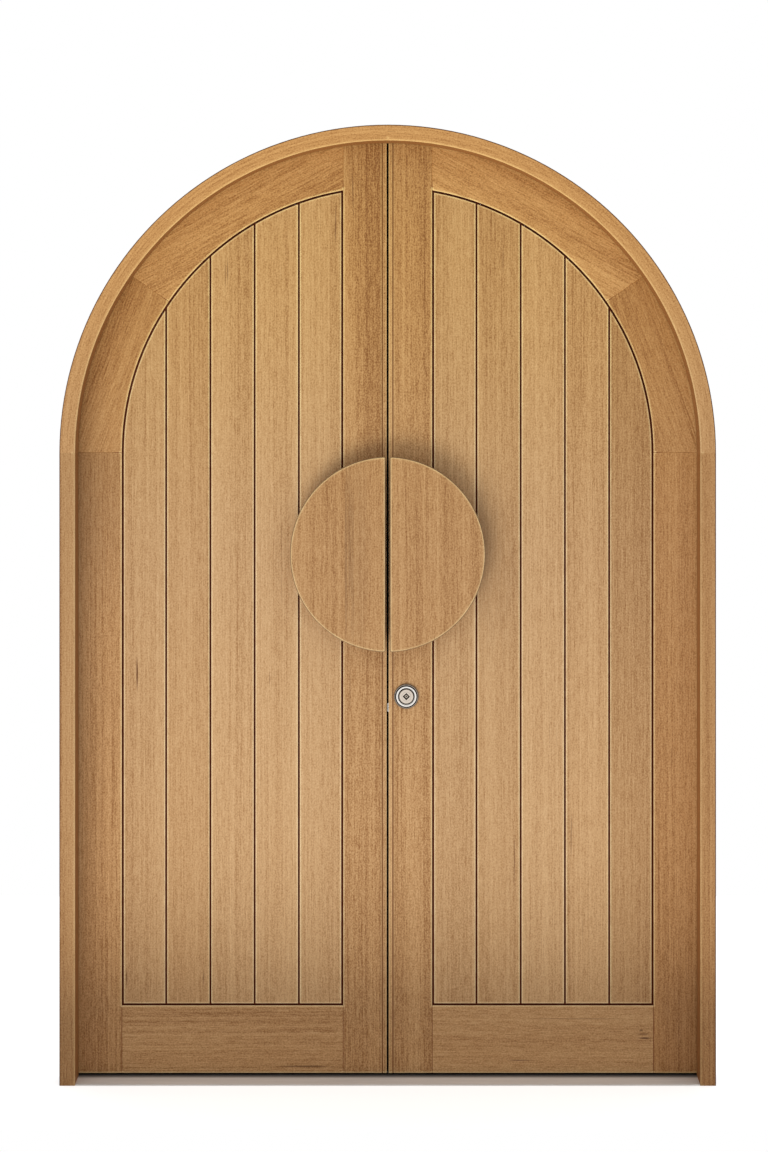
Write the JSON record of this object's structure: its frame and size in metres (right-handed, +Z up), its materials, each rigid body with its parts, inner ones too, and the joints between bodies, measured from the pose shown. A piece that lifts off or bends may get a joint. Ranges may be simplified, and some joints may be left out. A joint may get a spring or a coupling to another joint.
{
  "type": "arched double door with frame",
  "caption": "Pair of arched boarded timber leaves in a rebated timber frame with a threshold, half-round pulls, butt hinges, a deadlock and edge bolts; opens inward.",
  "frame": {"origin": "on the floor, midway across the opening and midway through the frame's depth", "axes": "+Z up, -Y towards the outside, +Y towards the inside where the leaves swing, +X to the right seen from outside"},
  "size_m": [1.64, 0.172, 2.4],
  "materials": {
    "frame_timber": "oiled hardwood, fine straight grain",
    "stile_timber": "oiled hardwood, darker straight grain",
    "arch_timber": "oiled hardwood, grain along the segments",
    "board_timber": "oiled hardwood boards with small eased edges",
    "pull_timber": "oiled hardwood, sanded smooth",
    "dowel_timber": "plain hardwood",
    "threshold_metal": "blasted and anodised, warm grey",
    "hinge_steel": "brushed stainless steel",
    "lock_steel": "turned stainless steel",
    "bolt_steel": "satin steel",
    "seal_rubber": "black rubber"
  },
  "bodies": {
    "frame": {"frame_dowels": "dowel_timber", "frame_hinge_plates": "hinge_steel", "frame_hinge_screws": "hinge_steel", "frame_seal": "seal_rubber", "head_bolt_keep": "bolt_steel", "hinge_pins": "hinge_steel", "left_head": "frame_timber", "left_jamb": "frame_timber", "right_head": "frame_timber", "right_jamb": "frame_timber", "threshold": "threshold_metal", "threshold_seal": "seal_rubber"},
    "left_leaf": {"bottom_slide_housing": "bolt_steel", "left_board_1": "board_timber", "left_board_2": "board_timber", "left_board_3": "board_timber", "left_board_4": "board_timber", "left_board_5": "board_timber", "left_bottom_rail": "stile_timber", "left_edge_screws": "bolt_steel", "left_hinge_stile": "stile_timber", "left_inner_pull": "pull_timber", "left_leaf_hinge_plates": "hinge_steel", "left_leaf_hinge_screws": "hinge_steel", "left_lower_arch_rail": "arch_timber", "left_meeting_seal": "seal_rubber", "left_meeting_stile": "stile_timber", "left_outer_pull": "pull_timber", "left_pull_posts": "bolt_steel", "left_upper_arch_rail": "arch_timber", "strike_plate": "bolt_steel", "top_slide_housing": "bolt_steel"},
    "right_leaf": {"forend_screws": "bolt_steel", "inner_rose": "lock_steel", "lock_cylinder": "lock_steel", "lock_forend": "bolt_steel", "lock_housing": "bolt_steel", "outer_rose": "lock_steel", "right_board_1": "board_timber", "right_board_2": "board_timber", "right_board_3": "board_timber", "right_board_4": "board_timber", "right_board_5": "board_timber", "right_bottom_rail": "stile_timber", "right_hinge_stile": "stile_timber", "right_inner_pull": "pull_timber", "right_leaf_hinge_plates": "hinge_steel", "right_leaf_hinge_screws": "hinge_steel", "right_lower_arch_rail": "arch_timber", "right_meeting_seal": "seal_rubber", "right_meeting_stile": "stile_timber", "right_outer_pull": "pull_timber", "right_pull_posts": "bolt_steel", "right_upper_arch_rail": "arch_timber"},
    "top_sliding_bolt": {"top_sliding_bolt": "bolt_steel"},
    "bottom_sliding_bolt": {"bottom_sliding_bolt": "bolt_steel"},
    "lock_turn": {"key_plug": "lock_steel", "lock_cam": "bolt_steel", "thumb_turn": "lock_steel"},
    "deadbolt": {"deadbolt": "bolt_steel"}
  },
  "joints": [
    {"name": "left_leaf_swing", "type": "hinge", "parent": "frame", "child": "left_leaf", "pos_m": [-0.7905, 0.0665, 0.8165], "axis": [0, 0, 1], "range_deg": [0, 95]},
    {"name": "right_leaf_swing", "type": "hinge", "parent": "frame", "child": "right_leaf", "pos_m": [0.7905, 0.0665, 0.8165], "axis": [0, 0, -1], "range_deg": [0, 95]},
    {"name": "top_bolt_slide", "type": "slide", "parent": "left_leaf", "child": "top_sliding_bolt", "axis": [0, 0, 1], "range_m": [0, 0.016]},
    {"name": "bottom_bolt_slide", "type": "slide", "parent": "left_leaf", "child": "bottom_sliding_bolt", "axis": [0, 0, -1], "range_m": [0, 0.01]},
    {"name": "lock_turn", "type": "hinge", "parent": "right_leaf", "child": "lock_turn", "pos_m": [0.047, 0.038, 0.964], "axis": [0, 1, 0], "range_deg": [-1, 91]},
    {"name": "deadbolt_throw", "type": "slide", "parent": "right_leaf", "child": "deadbolt", "axis": [-1, 0, 0], "range_m": [0, 0.018]}
  ],
  "couplings": [
    {"joint": "lock_turn", "follows": "deadbolt_throw", "rad_per_m": 87.266}
  ]
}
